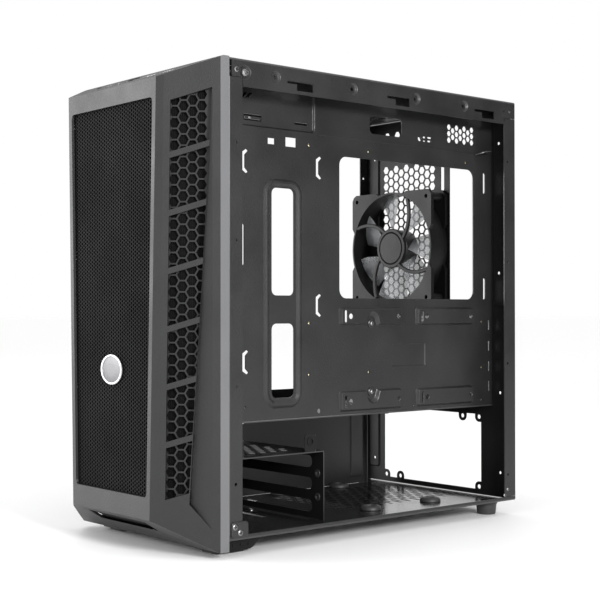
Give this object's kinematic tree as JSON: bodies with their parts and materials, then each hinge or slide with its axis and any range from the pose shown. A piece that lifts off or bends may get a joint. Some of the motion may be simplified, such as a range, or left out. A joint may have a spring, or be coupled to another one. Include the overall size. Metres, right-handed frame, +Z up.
{
  "type": "desktop computer tower",
  "caption": "Upright desktop computer tower with its side covers off: folded steel chassis, mesh-fronted moulded panel, drive and power supply bays, fans, feet.",
  "frame": {"origin": "centre of the tower's footprint, on the surface it stands on", "axes": "+Z up, -Y out of the front panel, +X out of the cable side, behind the motherboard tray"},
  "size_m": [0.214, 0.4046, 0.41],
  "materials": {
    "chassis_steel": "dark grey textured powder coat, satin",
    "cage_steel": "black powder coat, satin",
    "panel_plastic": "fine spark-eroded texture, satin",
    "dark_plastic": "moulded black plastic",
    "mesh_steel": "perforated sheet, black satin",
    "blade_plastic": "frosted translucent moulding",
    "rubber": "matt black",
    "brass": "turned",
    "port_steel": "bright stamped shell",
    "badge_metal": "satin",
    "circuit_board": "solder resist",
    "lamp": "clear light pipe"
  },
  "bodies": {
    "chassis": {"base_pan": "chassis_steel", "front_frame": "chassis_steel", "rear_panel": "chassis_steel", "top_panel": "chassis_steel", "motherboard_tray": "chassis_steel", "power_supply_shroud": "chassis_steel", "slot_retainer": "chassis_steel", "slot_cover_1": "chassis_steel", "slot_cover_2": "chassis_steel", "slot_cover_3": "chassis_steel", "slot_cover_4": "chassis_steel", "drive_cage": "cage_steel", "standoff_1": "brass", "standoff_2": "brass", "standoff_3": "brass", "standoff_4": "brass", "standoff_5": "brass", "standoff_6": "brass", "standoff_7": "brass", "standoff_8": "brass", "standoff_9": "brass", "front_foot_left": "dark_plastic", "front_foot_right": "dark_plastic", "front_foot_pad_left": "rubber", "front_foot_pad_right": "rubber", "rear_foot_left": "rubber", "rear_foot_right": "rubber", "supply_pad_1": "rubber", "supply_pad_2": "rubber", "supply_pad_3": "rubber", "supply_pad_4": "rubber", "filter_runner_left": "dark_plastic", "filter_runner_right": "dark_plastic", "rear_fan_frame": "dark_plastic", "front_fan_1_frame": "dark_plastic", "front_fan_2_frame": "dark_plastic"},
    "front_panel": {"front_bezel": "panel_plastic", "front_mesh": "mesh_steel", "side_mesh_left": "mesh_steel", "side_mesh_right": "mesh_steel", "front_badge": "badge_metal", "audio_jack_1": "dark_plastic", "audio_jack_2": "dark_plastic", "usb_port_1": "port_steel", "usb_port_2": "port_steel", "power_led": "lamp", "control_board": "circuit_board"},
    "power_button": {"power_button": "panel_plastic"},
    "reset_button": {"reset_button": "panel_plastic"},
    "rear_rotor": {"rear_fan_rotor": "blade_plastic"},
    "front_rotor_1": {"front_fan_1_rotor": "blade_plastic"},
    "front_rotor_2": {"front_fan_2_rotor": "blade_plastic"},
    "top_filter": {"top_filter": "dark_plastic"},
    "bottom_filter": {"bottom_filter": "dark_plastic"}
  },
  "joints": [
    {"name": "front_panel_pull", "type": "slide", "parent": "chassis", "child": "front_panel", "axis": [0, -1, 0], "range_m": [0, 0.06]},
    {"name": "power_button_press", "type": "slide", "parent": "front_panel", "child": "power_button", "axis": [0, 0.383, -0.9237], "range_m": [0, 0.0015], "stiffness_N_per_m": 400},
    {"name": "reset_button_press", "type": "slide", "parent": "front_panel", "child": "reset_button", "axis": [0, 0.383, -0.9237], "range_m": [0, 0.001], "stiffness_N_per_m": 400},
    {"name": "rear_fan_spin", "type": "hinge", "parent": "chassis", "child": "rear_rotor", "pos_m": [-0.0405, 0.18, 0.269], "axis": [0, 1, 0], "continuous": true},
    {"name": "front_fan_1_spin", "type": "hinge", "parent": "chassis", "child": "front_rotor_1", "pos_m": [0, -0.166, 0.096], "axis": [0, 1, 0], "continuous": true},
    {"name": "front_fan_2_spin", "type": "hinge", "parent": "chassis", "child": "front_rotor_2", "pos_m": [0, -0.166, 0.23], "axis": [0, 1, 0], "continuous": true},
    {"name": "top_filter_lift", "type": "slide", "parent": "chassis", "child": "top_filter", "axis": [0, 0, 1], "range_m": [0, 0.05]},
    {"name": "bottom_filter_slide", "type": "slide", "parent": "chassis", "child": "bottom_filter", "axis": [0, 1, 0], "range_m": [0, 0.15]}
  ]
}
